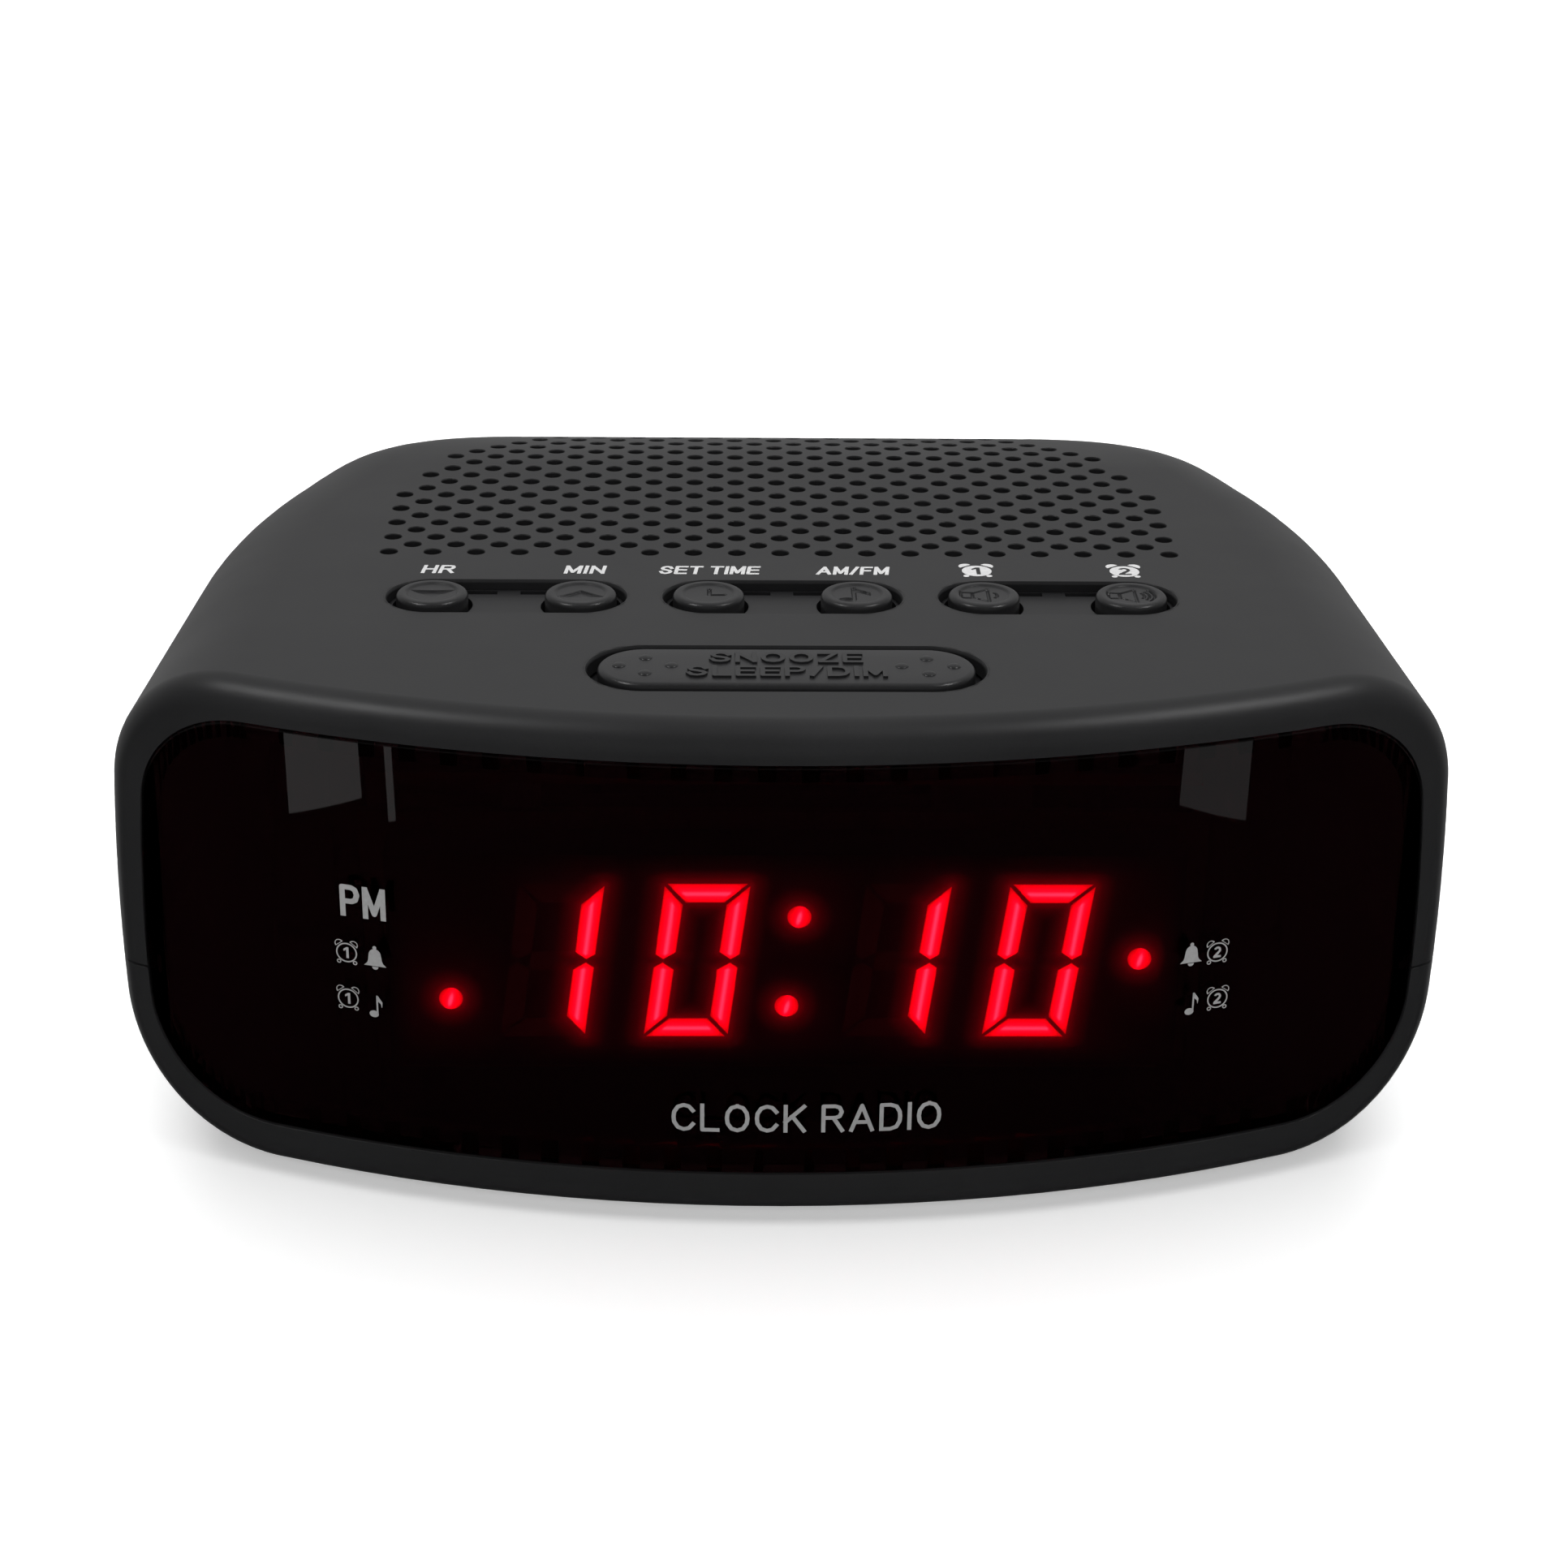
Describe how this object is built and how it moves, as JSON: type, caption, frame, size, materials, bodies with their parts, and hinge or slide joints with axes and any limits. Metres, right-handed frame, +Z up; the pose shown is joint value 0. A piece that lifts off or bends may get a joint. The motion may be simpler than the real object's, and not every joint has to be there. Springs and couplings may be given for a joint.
{
  "type": "clock radio",
  "caption": "Mains bedside clock radio with a curved dark lens over red digits, a perforated top over an upward speaker, top keys and a long snooze bar.",
  "frame": {"origin": "centre of the object's box in plan, on the surface that the feet stand on", "axes": "front faces -Y, +X to the user's right, +Z up"},
  "size_m": [0.1798, 0.1384, 0.073],
  "materials": {
    "case_plastic": "fine satin moulded ABS",
    "lens_plastic": "polished dark tinted acrylic",
    "foot_rubber": "matte",
    "key_plastic": "fine satin moulded ABS",
    "switch_plastic": "moulded",
    "circuit_board": "paper phenolic laminate",
    "display_housing": "matte black moulding",
    "lit_light_pipe": "lit red diffusing resin",
    "unlit_light_pipe": "unlit red diffusing resin",
    "chip_plastic": "moulded epoxy",
    "capacitor_sleeve": "shrink sleeve",
    "pressed_steel": "zinc plated",
    "magnet_ferrite": "sintered ferrite",
    "speaker_paper": "black pressed paper",
    "speaker_cloth": "resin dipped cloth",
    "copper_winding": "enamelled copper wire",
    "plated_contact": "nickel plated spring steel",
    "gland_rubber": "moulded",
    "wire_insulation": "PVC",
    "screw_steel": "blackened steel"
  },
  "bodies": {
    "root": {"top_shell": "case_plastic", "bottom_shell": "case_plastic", "front_lens": "lens_plastic", "foot_front_left": "foot_rubber", "foot_front_right": "foot_rubber", "foot_rear_left": "foot_rubber", "foot_rear_right": "foot_rubber", "hour_minute_bridge": "key_plastic", "time_band_bridge": "key_plastic", "alarm_bridge": "key_plastic", "hour_switch": "switch_plastic", "minute_switch": "switch_plastic", "set_time_switch": "switch_plastic", "band_switch": "switch_plastic", "alarm_one_switch": "switch_plastic", "alarm_two_switch": "switch_plastic", "snooze_switch": "switch_plastic", "key_board": "circuit_board", "main_board": "circuit_board", "display_board": "circuit_board", "display_reflector": "display_housing", "lit_segments": "lit_light_pipe", "indicator_dots": "lit_light_pipe", "unlit_segments": "unlit_light_pipe", "integrated_circuits": "chip_plastic", "electrolytic_capacitors": "capacitor_sleeve", "speaker_basket": "pressed_steel", "transformer_core": "pressed_steel", "speaker_magnet": "magnet_ferrite", "ferrite_rod": "magnet_ferrite", "speaker_surround": "speaker_cloth", "speaker_spider": "speaker_cloth", "transformer_winding": "copper_winding", "antenna_coil": "copper_winding", "battery_springs": "plated_contact", "battery_plates": "plated_contact", "mains_cord_gland": "gland_rubber", "wire_antenna_gland": "gland_rubber", "inner_wiring": "wire_insulation", "case_screws": "screw_steel", "board_screws": "screw_steel", "speaker_screws": "screw_steel"},
    "hour_key": {"hour_button": "key_plastic", "hour_plunger": "switch_plastic"},
    "minute_key": {"minute_button": "key_plastic", "minute_plunger": "switch_plastic"},
    "set_time_key": {"set_time_button": "key_plastic", "set_time_plunger": "switch_plastic"},
    "band_key": {"band_button": "key_plastic", "band_plunger": "switch_plastic"},
    "alarm_one_key": {"alarm_one_button": "key_plastic", "alarm_one_plunger": "switch_plastic"},
    "alarm_two_key": {"alarm_two_button": "key_plastic", "alarm_two_plunger": "switch_plastic"},
    "snooze_key": {"snooze_bar": "key_plastic", "snooze_plunger": "switch_plastic"},
    "cone": {"speaker_cone": "speaker_paper", "voice_coil": "copper_winding", "dust_cap": "speaker_paper"},
    "door": {"battery_door": "case_plastic"}
  },
  "joints": [
    {"name": "hour_press", "type": "slide", "parent": "root", "child": "hour_key", "axis": [0, 0, -1], "range_m": [0, 0.0008], "stiffness_N_per_m": 900},
    {"name": "minute_press", "type": "slide", "parent": "root", "child": "minute_key", "axis": [0, 0, -1], "range_m": [0, 0.0008], "stiffness_N_per_m": 900},
    {"name": "set_time_press", "type": "slide", "parent": "root", "child": "set_time_key", "axis": [0, 0, -1], "range_m": [0, 0.0008], "stiffness_N_per_m": 900},
    {"name": "band_press", "type": "slide", "parent": "root", "child": "band_key", "axis": [0, 0, -1], "range_m": [0, 0.0008], "stiffness_N_per_m": 900},
    {"name": "alarm_one_press", "type": "slide", "parent": "root", "child": "alarm_one_key", "axis": [0, 0, -1], "range_m": [0, 0.0008], "stiffness_N_per_m": 900},
    {"name": "alarm_two_press", "type": "slide", "parent": "root", "child": "alarm_two_key", "axis": [0, 0, -1], "range_m": [0, 0.0008], "stiffness_N_per_m": 900},
    {"name": "snooze_press", "type": "slide", "parent": "root", "child": "snooze_key", "axis": [0, 0, -1], "range_m": [0, 0.001], "stiffness_N_per_m": 900},
    {"name": "cone_travel", "type": "slide", "parent": "root", "child": "cone", "axis": [0, 0, 1], "range_m": [-0.0008, 0.0008], "stiffness_N_per_m": 1500, "deforming": ["speaker_surround", "speaker_spider"]},
    {"name": "battery_door_swing", "type": "hinge", "parent": "root", "child": "door", "pos_m": [0, 0.00473, 0.0026], "axis": [-1, 0, 0], "range_deg": [0, 80]}
  ]
}
